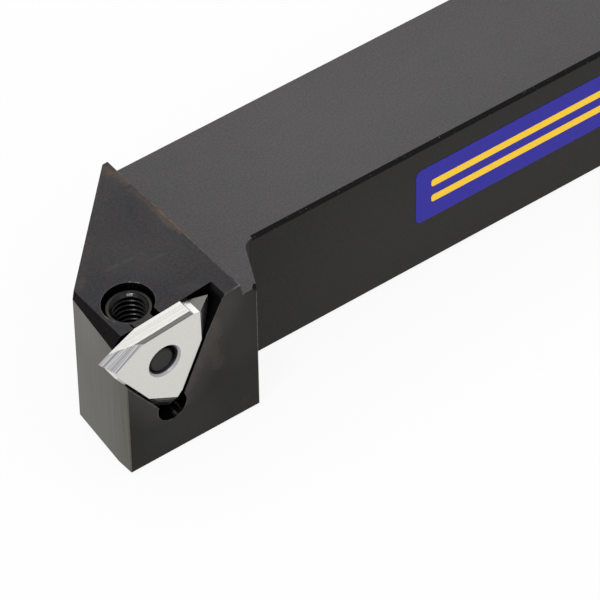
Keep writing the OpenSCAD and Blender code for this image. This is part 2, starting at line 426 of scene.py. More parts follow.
@dataclass(frozen=True)
class GroundCarbide:
    """Bright cemented carbide, lapped or ground."""

    name: str
    colour: Colour
    roughness: float = 0.3
    marks: float = 0.1
    mark_width: float = 0.2
    speckle: float = 0.05
    # Lines of painted light: a positive strength paints a highlight, a negative one paints shade.
    painted_lines: tuple[Mark, ...] = ()

    def build(self) -> bpy.types.Material:
        """Builds the material.

        Returns:
            The material.
        """
        s = Surface(self.name)
        scratch = s.noise(s.lay(1.0 / self.mark_width, 0.03), detail=3.0, rough=0.6)
        mark = s.fade(scratch, full=0.62, none=0.38)
        speck = s.noise(s.place, scale=4.5, rough=0.6)
        shade = 1.0 + mark.swing(self.marks) + speck.swing(self.speckle)
        # Painted highlights and painted shade along the lines.
        for line in self.painted_lines:
            shade = shade + s.near(line) * line.strength
        return s.finish(
            Base_Color=s.times((*self.colour, 1.0), shade),
            Metallic=1.0,
            Roughness=self.roughness + mark.swing(0.08) + speck.swing(0.1),
            Normal=s.bump(mark, strength=min(0.4, 0.1 + self.marks), depth=0.01),
        )


@dataclass(frozen=True)
class OiledSteel:
    """Hardened dark steel with a film of oil."""

    name: str
    colour: Colour
    roughness: float = 0.34
    grain: float = 0.25
    # Bare patches, painted pale as highlights.
    bare_and_highlight: tuple[Mark, ...] = ()
    bare_and_highlight_colour: Colour = (0.6, 0.59, 0.57)

    def build(self) -> bpy.types.Material:
        """Builds the material.

        Returns:
            The material.
        """
        s = Surface(self.name)
        film = s.noise(s.place, scale=1.1, detail=3.0)
        speck = s.noise(s.place, scale=4.0, detail=3.0, rough=0.7)
        colour = s.times((*self.colour, 1.0), 1.0 + speck.swing(self.grain) + film.swing(0.2))
        for mark in self.bare_and_highlight:
            colour = s.mixed(s.near(mark) * mark.strength, colour, (*self.bare_and_highlight_colour, 1.0))
        return s.finish(
            Base_Color=colour,
            Metallic=1.0,
            Roughness=self.roughness + film.swing(0.15),
            Normal=s.bump(speck, strength=0.2),
        )


@dataclass(frozen=True)
class ScreenPrint:
    """Printed ink with a faint orange peel."""

    name: str
    colour: Colour
    roughness: float = 0.42

    def build(self) -> bpy.types.Material:
        """Builds the material.

        Returns:
            The material.
        """
        s = Surface(self.name)
        peel = s.noise(s.place, scale=2.4)
        return s.finish(
            Base_Color=s.times((*self.colour, 1.0), 0.95 + peel * 0.1),
            Roughness=self.roughness + peel.swing(0.1),
            Specular_IOR_Level=0.2,
            Normal=s.bump(peel, strength=0.1),
        )


# Mesh work


def linked(thing: bpy.types.Object) -> bpy.types.Object:
    """Links an object to the scene."""
    bpy.context.scene.collection.objects.link(thing)
    return thing


def built(name: str, build: bmesh.types.BMesh) -> bpy.types.Object:
    """Ends a mesh that is being built, and links it as a new object.

    Args:
        name: Name of the object and its mesh.
        build: The mesh's data, which are freed.

    Returns:
        The object.
    """
    mesh = bpy.data.meshes.new(name)
    build.to_mesh(mesh)
    build.free()
    return linked(bpy.data.objects.new(name, mesh))


def merged_copy(frame: dict, node: str) -> bpy.types.Object:
    """Copies a solid of the frame with its triangles joined to whole faces.

    Args:
        frame: The frame.
        node: The solid's node.

    Returns:
        The copy, at the origin.
    """
    build = bmesh.new()
    build.from_mesh(frame["nodes"][node].data)
    bmesh.ops.remove_doubles(build, verts=build.verts, dist=WELD)
    bmesh.ops.dissolve_limit(build, angle_limit=LEVEL, verts=build.verts, edges=build.edges, delimit=set())
    return built(f"{node}_body", build)


def settle(piece: bpy.types.Object) -> None:
    """Turns the result of a piece's modifiers into its plain mesh.

    Args:
        piece: The piece.
    """
    graph = bpy.context.evaluated_depsgraph_get()
    mesh = bpy.data.meshes.new_from_object(
        piece.evaluated_get(graph), preserve_all_data_layers=True, depsgraph=graph
    )
    piece.modifiers.clear()
    piece.data = mesh
    mesh.name = piece.name


def smooth(piece: bpy.types.Object) -> None:
    """Shades a piece smooth between its sharp edges."""
    piece.data.shade_smooth()
    piece.data.set_sharp_from_angle(angle=SHARP)


def break_edges(piece: bpy.types.Object, width: float, angle: float = 25.0) -> None:
    """Rounds a piece's sharp edges and keeps its faces flat to the eye.

    Args:
        piece: The piece.
        width: Width of the rounding in millimetres.
        angle: Least angle of an edge that is rounded, in degrees.
    """
    bevel = piece.modifiers.new("edge_break", "BEVEL")
    bevel.width = width * MM
    bevel.segments = 2
    bevel.limit_method = "ANGLE"
    bevel.angle_limit = math.radians(angle)
    bevel.miter_outer = "MITER_ARC"
    settle(piece)
    smooth(piece)
    weighted = piece.modifiers.new("flat_faces", "WEIGHTED_NORMAL")
    weighted.keep_sharp = True
    weighted.weight = 90
    settle(piece)


def lay_marks(mesh: bpy.types.Mesh, direction: Callable[[Face], Vector]) -> None:
    """Writes the UV map that tool marks follow, in metres across and along them.

    Args:
        mesh: The mesh.
        direction: Gives the marks' direction on a face.
    """
    layer = mesh.uv_layers.new(name="lay")
    for face in mesh.polygons:
        along = direction(face)
        along = (along - along.dot(face.normal) * face.normal).normalized()
        across = face.normal.cross(along)
        for corner in face.loop_indices:
            place = mesh.vertices[mesh.loops[corner].vertex_index].co
            layer.data[corner].uv = (place.dot(across), place.dot(along))


def paint(
    piece: bpy.types.Object,
    materials: list[bpy.types.Material],
    choose: Optional[Callable[[Face], Enum]] = None,
) -> None:
    """Gives a piece its materials.

    Args:
        piece: The piece.
        materials: Its materials.
        choose: Tells which of them a face takes.
    """
    piece.data.materials.clear()
    for material in materials:
        piece.data.materials.append(material)
    for face in piece.data.polygons:
        face.material_index = choose(face).value if choose else 0


def dress(piece: bpy.types.Object, body: Body, slot: Slot, *nodes: str) -> None:
    """Gives a piece its body and hides the solids that it stands for.

    Args:
        piece: The piece.
        body: The body that it rides on.
        slot: The record's slot for its finish; not used.
        nodes: The solids that it replaces.
    """
    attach(piece, body.value)
    if nodes:
        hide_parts(*nodes)
    LOG.info("%s: %d faces on %s", piece.name, len(piece.data.polygons), body.value)


# Threads


@dataclass(frozen=True)
class Bore:
    """The tilted axis that barrel and screw share."""

    point: Point
    axis: Point
    pitch: float = 1.0

    def at(self, height: float) -> Matrix:
        """Gives a place on the axis and the turn to it.

        Args:
            height: Height above the axis's point, in millimetres.

        Returns:
            The move from the origin, in metres.
        """
        axis = Vector(self.axis).normalized()
        turn = UP.rotation_difference(axis).to_matrix().to_4x4()
        return Matrix.Translation(Vector(self.point) + axis * height * MM) @ turn

    def lay(self, face: Face) -> Vector:
        """Gives the direction of the marks on pieces in the bore, on end faces too."""
        return Vector(self.axis) + Vector((0.0, 0.01, 0.0))


@dataclass(frozen=True)
class Thread:
    """A wound thread: its start along the bore, its length and its radii."""

    name: str
    start: float
    length: float
    crest_r: float
    root_r: float
    end_r: float
    cap_r: float


class HelixTree:
    """Geometry nodes that wind a thread-shaped skin round the Z axis, from 0 up to a length."""

    ROWS = 16
    SEGMENTS = 48
    SPARE_TURNS = 2
    CREST_FLAT = 1.0 / 8.0
    ROOT_FLAT = 1.0 / 4.0
    SIZES = ("Pitch", "Crest Radius", "Root Radius", "End Radius", "Cap Radius", "Length")

    def __init__(self) -> None:
        """Builds the tree with its named inputs."""
        self.tree = bpy.data.node_groups.new("wound_thread", "GeometryNodeTree")
        face = self.tree.interface
        face.new_socket("Geometry", in_out="OUTPUT", socket_type="NodeSocketGeometry")
        kinds = {name: "Float" for name in self.SIZES}
        kinds.update({"Turns": "Int", "Segments": "Int", "Material": "Material"})
        self.keys = {
            name: face.new_socket(name, in_out="INPUT", socket_type=f"NodeSocket{kind}").identifier
            for name, kind in kinds.items()
        }
        self.wire()

    def wire(self) -> None:
        """Adds the nodes: a grid of rows is wound to the helix, each row at its place on the form."""
        g = Graph(self.tree)
        given = g.make("NodeGroupInput")
        pitch, crest, root, end, cap, length = (given.sibling(name) for name in self.SIZES)
        turns = given.sibling("Turns")
        counts = {
            "Vertices X": given.sibling("Segments") + 1.0,
            "Vertices Y": turns * float(self.ROWS) + 1.0,
        }
        grid = g.make("GeometryNodeMeshGrid", counts)
        spot = g.make("ShaderNodeSeparateXYZ", {0: g.make("GeometryNodeInputPosition")})
        around = spot + 0.5
        wound = (spot.sibling("Y") + 0.5) * turns
        height = (wound + around - 1.0) * pitch
        level = g.math("MINIMUM", g.math("MAXIMUM", height, 0.0), length)
        off_crest = g.math("ABSOLUTE", g.math("FRACT", wound) - 0.5)
        to_root = 0.5 - self.ROOT_FLAT / 2.0
        form = ((to_root - off_crest) / (to_root - self.CREST_FLAT / 2.0)).clamped()
        radius = root + (crest - root) * form
        near_end = g.math("MINIMUM", level, length - level)
        radius = g.math("MINIMUM", radius, end + near_end)
        outside = g.math("GREATER_THAN", g.math("ABSOLUTE", height - level), 1e-9)
        radius = radius + (cap - radius) * outside
        angle = around * math.tau
        x, y = radius * g.math("COSINE", angle), radius * g.math("SINE", angle)
        place = g.make("ShaderNodeCombineXYZ", {"X": x, "Y": y, "Z": level})
        skin = g.make("GeometryNodeSetPosition", {"Geometry": grid, "Position": place})
        skin = g.make("GeometryNodeMergeByDistance", {"Geometry": skin, "Distance": 0.0005 * MM})
        skin = g.make("GeometryNodeRealizeInstances", {"Geometry": skin})
        steel = given.sibling("Material")
        skin = g.make("GeometryNodeSetMaterial", {"Geometry": skin, "Material": steel})
        g.make("NodeGroupOutput", {"Geometry": skin})

    def wind(self, thread: Thread, bore: Bore, material: bpy.types.Material) -> bpy.types.Object:
        """Makes one closed thread-shaped piece.

        Args:
            thread: Its sizes.
            bore: The axis that it is wound round.
            material: Its material.

        Returns:
            The piece, as a plain mesh.
        """
        piece = built(thread.name, bmesh.new())
        winding = piece.modifiers.new("wound_thread", "NODES")
        winding.node_group = self.tree
        sizes = (bore.pitch, thread.crest_r, thread.root_r, thread.end_r, thread.cap_r, thread.length)
        values = {name: size * MM for name, size in zip(self.SIZES, sizes)}
        values["Turns"] = math.ceil(thread.length / bore.pitch) + self.SPARE_TURNS
        values["Segments"] = self.SEGMENTS
        values["Material"] = material
        for name, value in values.items():
            winding[self.keys[name]] = value
        settle(piece)
        build = bmesh.new()
        build.from_mesh(piece.data)
        rims = [edge for edge in build.edges if edge.is_boundary]
        if rims:
            bmesh.ops.bridge_loops(build, edges=rims)
        bmesh.ops.recalc_face_normals(build, faces=build.faces)
        build.to_mesh(piece.data)
        build.free()
        piece.data.transform(bore.at(thread.start))
        return piece


# Sub-assemblies


class Zone(Enum):
    """Groups of the holder's faces by place and turn, each with its own tone. The tones carry painted light
    and shade: both tops are painted lighter than the sides for the light from above, the front face lighter
    for the light from the left, and the pocket and the shoulder's fillet dark as painted shade; the facets
    and chamfers are darker.
    """

    SIDES = 0
    SHANK_TOP = 1
    RAISED_TOP = 2
    FRONT = 3
    FACET = 4
    CHAMFER = 5
    POCKET = 6


Rows = tuple[tuple[float, ...], ...]


@dataclass
class HolderBody:
    """Shank and head in one, with the marks of its making and its use, and with painted light and shade.

    A row of a mark on the head's side holds its first x and z, its last x and z, its reach and
    its strength.
    """

    frame: dict
    bore: Bore
    edge_break: float = 0.09
    step_x: float = -8.15
    step_run: float = 0.55
    rear_x: float = -5.7
    shoulder_end: float = 3.0
    front_x: float = -30.0
    front_rear: float = -28.9
    facet_end: float = -20.0
    outer_y: float = -21.3
    far_y: float = 12.5
    bore_y: float = -8.9
    shank_z: float = 25.0
    ridge_z: float = 27.15
    mouth: Point = (-23.2685, -13.11, 25.8752)
    mouth_r: float = 4.1
    relief: Point = (-21.69, -21.3, 9.7)
    relief_r: float = 2.6
    side_pale: Rows = (
        (-12.2, 25.0, -18.9, 12.6, 6.0, 0.085),
        (-13.9, 22.0, -18.9, 12.6, 2.2, 0.05),
        (-29.6, 18.3, -24.5, 11.1, 5.0, 0.075),
        (-9.3, 24.5, -8.7, 14.6, 6.0, 0.03),
        (-22.3, 5.4, -17.7, 4.6, 7.0, 0.026),
    )
    side_tints: Rows = (
        (-13.5, 22.2, -13.0, 19.3, 1.4, 0.28),
        (-14.7, 18.4, -13.2, 13.6, 2.2, 0.24),
        (-16.8, 15.8, -16.1, 14.9, 1.5, 0.18),
        (-19.3, 12.2, -18.7, 9.0, 1.3, 0.18),
        (-18.3, 14.4, -17.6, 12.7, 1.2, 0.16),
        (-8.2, 3.0, -8.6, 2.4, 1.3, 0.06),
    )
    side_worn: Rows = (
        (rear_x, 24.2, rear_x, 1.0, 0.2, 0.35),
        (-11.9, 26.5, -19.7, 11.8, 0.13, 0.25),
        (-29.6, 18.3, -24.5, 11.1, 0.13, 0.2),
    )
    shank_side_pale: Mark = Mark((25.0, -12.5, 12.5), (150.0, -12.5, 12.5), 30.0, 0.028)
    shank_top_pale: Mark = Mark((22.0, 0.0, 25.0), (150.0, 0.0, 25.0), 34.0, 0.055)
    shank_tints: tuple[Mark, ...] = (
        Mark((-7.1, 1.5, 25.0), (-7.0, -5.5, 25.0), 0.8, 0.35),
        Mark((-6.6, -6.5, 25.0), (-6.4, -8.5, 25.0), 0.8, 0.2),
    )
    step_foot_worn: Mark = Mark((-6.7, -12.6, 25.0), (-6.8, -18.2, 25.0), 0.1, 0.14)
    top_pale: tuple[Mark, ...] = (
        Mark((-12.9, -8.1, 26.8), (-18.5, -2.5, 26.3), 9.0, 0.033),
        Mark((-10.2, 10.2, 27.0), (-15.2, 5.9, 26.6), 6.5, 0.028),
        Mark((-9.6, 8.0, 27.1), (-9.8, -3.0, 27.0), 3.0, 0.02),
    )
    top_tints: tuple[Mark, ...] = (
        Mark((-9.7, 11.3, 27.1), (-10.0, 10.3, 27.0), 1.3, 0.45),
        Mark((-9.3, 9.9, 27.1), (-8.9, 6.8, 27.1), 1.1, 0.45),
        Mark((-9.1, 2.2, 27.1), (-9.2, -0.4, 27.1), 0.8, 0.3),
        Mark((-8.9, -0.8, 27.1), (-9.1, -3.3, 27.1), 1.0, 0.6),
        Mark((-9.2, -4.2, 27.1), (-8.7, -6.6, 27.1), 1.0, 0.6),
        Mark((-10.9, 11.1, 27.0), (-15.1, 7.0, 26.6), 0.6, 0.18),
        Mark((-27.3, -5.5, 25.5), (-25.9, -5.1, 25.6), 1.2, 0.15),
        Mark((-26.8, -5.8, 25.6), (-20.0, 1.5, 26.2), 1.2, 0.12),
        Mark((-9.4, 5.2, 27.1), (-9.2, 3.0, 27.1), 0.9, 0.22),
        Mark((-15.5, -16.0, 26.6), (-13.5, -17.3, 26.7), 1.3, 0.12),
    )
    top_wear_and_highlights: tuple[Mark, ...] = (
        Mark((-21.9, -5.6, 26.0), (-15.7, -6.7, 26.5), 0.6, 0.035),
        Mark((-16.4, -8.2, 26.5), (-13.5, -8.7, 26.7), 0.5, 0.03),
        # The last three are painted highlights on the counterbore's rim, at its far edge and its lower
        # left.
        Mark((-20.72, -9.87, 26.10), (-19.76, -10.95, 26.18), 0.16, 0.8),
        Mark((-27.19, -11.87, 25.53), (-27.36, -13.51, 25.52), 0.16, 0.3),
        Mark((-27.36, -13.51, 25.52), (-26.98, -14.89, 25.55), 0.16, 0.3),
    )
    front_pale: tuple[Mark, ...] = (
        Mark((-28.9, -8.9, 26.0), (-28.9, -8.9, 0.0), 15.0, 0.15),
        Mark((-28.9, -8.9, 26.0), (-29.0, -9.7, 24.0), 10.0, 0.14),
    )
    front_worn: tuple[Mark, ...] = (
        Mark((-29.6, -17.0, 17.0), (-29.6, -17.0, 3.0), 0.25, 0.09),
        Mark((-29.8, -19.2, 14.0), (-29.8, -19.2, 2.0), 0.2, 0.05),
    )
    # A painted glint: the relief hole's wall painted paler where it would reflect light.
    relief_glint: Mark = Mark((-20.1, -19.7, 7.3), (-20.25, -20.85, 7.2), 1.1, 0.9)

    def zone(self, face: Face) -> Zone:
        """Tells which group a face belongs to.

        Args:
            face: The face.

        Returns:
            The zone.
        """
        place, normal = face.center / MM, face.normal
        x, y, z = place
        off_bore = (place - Vector(self.mouth)).cross(Vector(self.bore.axis)).length
        high = z > self.shank_z - 1.0
        upright = abs(normal.z) < 0.3
        sloping = 0.5 < abs(normal.z) < 0.9
        # Faces round the counterbore's mouth join the raised top, so that its painted rim highlights lie on
        # them.
        if high and normal.z > 0.2 and abs(off_bore - self.mouth_r) < 0.3:
            return Zone.RAISED_TOP
        if high and normal.z > 0.97:
            return Zone.RAISED_TOP if x < self.step_x - 0.2 else Zone.SHANK_TOP
        if x < self.facet_end and sloping and normal.z > 0.0 and normal.x < -0.4:
            return Zone.FACET
        # The shoulder's fillet faces take the dark facet tone, as painted shade over the reflection they
        # would catch.
        if self.rear_x < x < self.shoulder_end and y > self.outer_y + 0.5 and upright and normal.x > 0.12:
            return Zone.FACET
        if x < self.front_rear and upright and normal.x < -0.45:
            return Zone.FRONT
        across = self.outer_y + 0.1 < y < self.bore_y
        if across and self.front_x + 1.2 < x < self.step_x - 1.0 and 0.2 < z < self.shank_z:
            return Zone.POCKET
        return Zone.CHAMFER if sloping else Zone.SIDES

    def lay(self, face: Face) -> Vector:
        """Gives the direction of the tool marks on a face.

        Args:
            face: The face.

        Returns:
            The direction.
        """
        zone = self.zone(face)
        if zone in (Zone.RAISED_TOP, Zone.FACET):
            return Vector((0.0, 1.0, 0.02))
        if zone is Zone.FRONT or (zone is Zone.SIDES and face.center.x < self.step_x * MM):
            return Vector((0.0, 0.03, 1.0))
        return Vector((1.0, 0.0, 0.02))

    def build(self) -> None:
        """Makes the holder's finished mesh."""
        piece = merged_copy(self.frame, "holder")
        break_edges(piece, self.edge_break)
        lay_marks(piece.data, self.lay)
        finishes = self.finishes()
        paint(piece, [finishes[zone].build() for zone in Zone], self.zone)
        dress(piece, Body.HOLDER, Slot.BLACK_STEEL, "holder")

    def on_side(self, rows: Rows) -> tuple[Mark, ...]:
        """Makes marks on the head's side from their rows."""
        side = self.outer_y
        return tuple(Mark((a, side, b), (c, side, d), *rest) for a, b, c, d, *rest in rows)

    def ridge_wear(self) -> tuple[Mark, ...]:
        """Gives the rubbed lines along the raised top's rear edge and down from its near end.

        Returns:
            The marks.
        """
        near = (self.step_x - self.step_run, self.outer_y, self.ridge_z)
        far = (self.step_x - self.step_run, self.far_y, self.ridge_z)
        return (
            Mark(far, near, 0.25, 0.2),
            Mark((-8.7, -8.0, 27.15), near, 0.24, 0.08),
            Mark((-9.0, -13.8, 27.1), (-8.95, -20.8, 27.1), 0.12, 0.2),
            Mark(near, (self.step_x, self.outer_y, self.shank_z), 0.3, 0.25),
            Mark(near, (-12.0, self.outer_y, 26.8), 0.25, 0.25),
        )

    def finishes(self) -> dict[Zone, BlackOxide]:
        """Gives the finish of each zone.

        Returns:
            The finishes.
        """
        ridge = self.ridge_wear()
        # Painted highlight lines round the relief hole's mouth and the counterbore's mouth.
        relief = Rim(self.relief, (0.0, 1.0, 0.0), self.relief_r + 0.04, 0.14, 0.3)
        mouth = Rim(self.mouth, self.bore.axis, self.mouth_r + 0.03, 0.14, 0.15)
        return {
            Zone.SIDES: BlackOxide(
                "blackened_sides", (0.0225, 0.0217, 0.02), mottle=0.15, grain=1.1,
                pale=(*self.on_side(self.side_pale), self.shank_side_pale),
                tints=self.on_side(self.side_tints),
                wear_and_highlight=ridge + self.on_side(self.side_worn), rims=(relief,),
            ),
            # The shank's top is painted lighter than the sides, for the light that falls from above.
            Zone.SHANK_TOP: BlackOxide(
                "blackened_top", (0.078, 0.0745, 0.0755), 0.55, mottle=0.25, grain=1.3, drift=0.015,
                pale=(self.shank_top_pale,), tints=self.shank_tints, wear_and_highlight=(*ridge, self.step_foot_worn),
            ),
            # The raised top is painted lighter than the sides, for the light that falls from above.
            Zone.RAISED_TOP: BlackOxide(
                "blackened_raised_top", (0.0375, 0.0362, 0.0372), 0.48, mottle=0.4, grain=1.4, drift=0.045,
                pale=self.top_pale, tints=self.top_tints, wear_and_highlight=ridge + self.top_wear_and_highlights, rims=(mouth,),
            ),
            # The front face is painted lighter, for the light that falls on it from the left.
            Zone.FRONT: BlackOxide(
                "blackened_front", (0.107, 0.105, 0.0885), streaks=0.7, streak_width=0.3, mottle=0.1,
                pale=self.front_pale, wear_and_highlight=self.front_worn,
            ),
            Zone.FACET: BlackOxide(
                "blackened_facet", (0.011, 0.0098, 0.0098), streaks=0.8, mottle=0.6, grain=1.4,
            ),
            Zone.CHAMFER: BlackOxide("blackened_chamfer", (0.012, 0.012, 0.0125), specks=0.3),
            # The pocket is painted near black as the shade that fills it, with a painted glint on the
            # relief hole's wall.
            Zone.POCKET: BlackOxide(
                "pocket_painted_shade", (0.006, 0.0055, 0.0055), mottle=0.6, grain=1.4,
                wear_and_highlight=(self.relief_glint,),
            ),
        }


@dataclass
class PrintedBand:
    """The printed band on the shank's near side, with its two stripes."""

    near_y: float = -12.5
    front: float = 31.2
    rear: float = 98.0
    low: float = 9.4
    high: float = 20.4
    corner: float = 1.2
    corner_share: float = 0.6
    corner_steps: int = 6
    coat: float = 0.03
    stripe: float = 1.4
    stripe_gap: float = 1.8
    stripe_inset: float = 3.0

    def build(self) -> None:
        """Makes the band and its stripes."""
        band = self.patch("band_blue", self.low, self.front, self.high, self.rear, 1.0)
        self.ink(band, ScreenPrint("ink_blue", (0.018, 0.012, 0.31)).build())
        yellow = ScreenPrint("ink_yellow", (0.98, 0.62, 0.03)).build()
        first, last = self.front + self.stripe_inset, self.rear - self.stripe_inset
        middle = (self.low + self.high) / 2.0
        levels = {
            "stripe_low": middle - self.stripe_gap / 2.0 - self.stripe,
            "stripe_high": middle + self.stripe_gap / 2.0,
        }
        for name, level in levels.items():
            self.ink(self.patch(name, level, first, level + self.stripe, last, 2.0), yellow)

    @staticmethod
    def ink(patch: bpy.types.Object, material: bpy.types.Material) -> None:
        """Gives a patch its ink and its body."""
        paint(patch, [material])
        dress(patch, Body.HOLDER, Slot.BLACK_STEEL)

    def patch(
        self, name: str, low: float, front: float, high: float, rear: float, coats: float
    ) -> bpy.types.Object:
        """Makes one flat printed patch with rounded corners.

        Args:
            name: The piece's name.
            low: Its lower edge.
            front: Its front end.
            high: Its upper edge.
            rear: Its rear end.
            coats: How many coats of ink it stands proud.

        Returns:
            The piece.
        """
        radius = min(self.corner, (high - low) / 2.0 * self.corner_share)
        outline = []
        for x, z, start in ((front, low, 180), (rear, low, 270), (rear, high, 0), (front, high, 90)):
            middle_x = x + radius * (1.0 if x == front else -1.0)
            middle_z = z + radius * (1.0 if z == low else -1.0)
            for step in range(self.corner_steps + 1):
                angle = math.radians(start + 90.0 * step / self.corner_steps)
                outline.append((middle_x + radius * math.cos(angle), middle_z + radius * math.sin(angle)))
        build = bmesh.new()
        foot, top = (
            [build.verts.new(Vector((x, self.near_y - height, z)) * MM) for x, z in outline]
            for height in (0.0, self.coat * coats)
        )
        build.faces.new(foot)
        build.faces.new(top)
        for i, corner in enumerate(foot):
            build.faces.new((foot[i - 1], corner, top[i], top[i - 1]))
        bmesh.ops.recalc_face_normals(build, faces=build.faces)
        return built(name, build)


class Cut(Enum):
    """Groups of the insert's faces by place and turn, each with a tone painted to the light and shade it
    shows.
    """

    LAPPED = 0
    SIDE = 1
    BAND = 2
    RIDGE = 3
    TIP = 4
    LAND = 5
    NOTCH = 6
    HOLE = 7


@dataclass
class RidgedInsert:
    """The triangular insert with its three ground ridges."""

    frame: dict
    edge_break: float = 0.05
    edge_angle: float = 8.0
    tilt: float = 5.0
    ridge_slope: float = 26.3
    hole_r: float = 3.0
    centre: Point = (-22.56, -19.5, 19.613)
    land_end: Flat = (6.519, 5.763)
    longer_land: Flat = (6.119, 5.868)
    notch_end: Flat = (6.229, 5.99)
    steeper_notch: Flat = (6.03, 5.99)
    same_place: float = 0.02
    # Painted light along one ridge, turned to the other two: negative strengths paint the shade in its
    # groove and on its flank, positive ones paint highlights on its narrow bright flanks.
    painted_flank_lines: tuple[Mark, ...] = (
        Mark((-31.26, -21.03, 22.37), (-26.87, -20.90, 25.31), 0.13, -0.35),
        Mark((-31.47, -20.91, 22.47), (-27.09, -20.80, 25.36), 0.13, 0.6),
        Mark((-31.92, -20.56, 22.88), (-27.87, -20.51, 25.45), 0.3, -0.18),
        Mark((-32.36, -20.15, 23.41), (-28.51, -20.24, 25.57), 0.13, 0.45),
        Mark((-32.68, -19.92, 23.67), (-29.21, -20.01, 25.61), 0.2, -0.25),
    )

    def ridges(self) -> list[Vector]:
        """Gives the direction of each ridge."""
        angles = [math.radians(self.tilt + self.ridge_slope + 120.0 * third) for third in range(3)]
        return [Vector((math.cos(angle), 0.0, math.sin(angle))) for angle in angles]

    def cut(self, face: Face) -> Cut:
        """Tells which group a face belongs to, from its place and from its turn about the insert's axis.

        Args:
            face: The face.

        Returns:
            The finish.
        """
        normal = face.normal
        if abs(normal.y) > 0.97:
            return Cut.LAPPED
        offset = face.center / MM - Vector(self.centre)
        if math.hypot(offset.x, offset.z) < self.hole_r:
            return Cut.HOLE
        leaning = abs(normal.y) > 0.15
        turn = (math.degrees(math.atan2(normal.z, normal.x)) - self.tilt - 90.0 + 60.0) % 120.0 - 60.0
        if abs(turn) < 4.0:
            return Cut.BAND if leaning and normal.z > 0.0 else Cut.SIDE
        if leaning:
            return Cut.RIDGE
        if turn > 0.0:
            return Cut.TIP
        return Cut.LAND if turn > -25.0 else Cut.NOTCH

    def lay(self, face: Face) -> Vector:
        """Gives the direction of the grinding marks on a face.

        Args:
            face: The face.

        Returns:
            The direction.
        """
        cut = self.cut(face)
        if cut is Cut.RIDGE:
            return min(self.ridges(), key=lambda ridge: abs(ridge.dot(face.normal)))
        if cut is Cut.LAPPED:
            return Vector((1.0, 0.0, 0.3))
        return face.normal.cross(Vector((0.0, 1.0, 0.0))) + Vector((0.0, 0.01, 0.0))

    def steepen_notches(self, piece: bpy.types.Object) -> None:
        """Lengthens each land towards its side, so that the notch between them gets a steep wall.

        Args:
            piece: The insert's merged copy.
        """
        centre = Vector(self.centre)
        moves = ((self.land_end, self.longer_land), (self.notch_end, self.steeper_notch))
        for vertex in piece.data.vertices:
            for third in range(3):
                turn = Matrix.Rotation(-math.radians(self.tilt + 120.0 * third), 4, "Y")
                place = turn.inverted() @ (vertex.co / MM - centre)
                for old, new in moves:
                    if math.hypot(place.x - old[0], place.z - old[1]) < self.same_place:
                        moved = turn @ Vector((new[0], place.y, new[1]))
                        vertex.co = (moved + centre) * MM

    def painted_ridge_lines(self) -> tuple[Mark, ...]:
        """Gives the painted shade lines and painted highlight lines along each ridge's flank and at its
        foot.

        Returns:
            The marks of all three ridges.
        """
        centre = Vector(self.centre)
        found = []
        for line in self.painted_flank_lines:
            for third in range(3):
                turn = Matrix.Rotation(math.radians(120.0 * third), 4, "Y")
                ends = [tuple(turn @ (Vector(point) - centre) + centre) for point in (line.start, line.end)]
                found.append(Mark(*ends, line.reach, line.strength))
        return tuple(found)

    def build(self) -> None:
        """Makes the insert's finished mesh."""
        piece = merged_copy(self.frame, "insert")
        self.steepen_notches(piece)
        break_edges(piece, self.edge_break, self.edge_angle)
        lay_marks(piece.data, self.lay)
        painted_lines = self.painted_ridge_lines()
        # Each group's tone carries painted light and shade: the band is painted dark as shade, and the
        # notch painted bright where it would reflect the dark pocket.
        finishes = {
            Cut.LAPPED: GroundCarbide("carbide_lapped", (0.695, 0.688, 0.65), 0.42, 0.02, 0.5, 0.3, painted_lines),
            Cut.SIDE: GroundCarbide("carbide_side", (0.535, 0.53, 0.505), 0.36, 0.25, 0.3, 0.5),
            Cut.BAND: GroundCarbide("carbide_band", (0.17, 0.168, 0.163), 0.36, 0.3, 0.12),
            Cut.RIDGE: GroundCarbide("carbide_ridge", (0.46, 0.452, 0.465), 0.3, 0.4, 0.15, painted_lines=painted_lines),
            Cut.TIP: GroundCarbide("carbide_tip", (0.2, 0.197, 0.19), 0.34, 0.12, 0.2, 0.3),
            Cut.LAND: GroundCarbide("carbide_land", (0.78, 0.77, 0.76), 0.34, 0.04),
            Cut.NOTCH: GroundCarbide("carbide_notch", (0.74, 0.73, 0.735), 0.5, 0.05),
            Cut.HOLE: GroundCarbide("carbide_hole", (0.38, 0.372, 0.39), 0.4, 0.1),
        }
        paint(piece, [finishes[cut].build() for cut in Cut], self.cut)
        dress(piece, Body.HOLDER, Slot.CARBIDE, "insert")


class PinPart(Enum):
    """Parts of the draw pin that look different."""

    NOSE = 0
    BARREL = 1
    PIN = 2


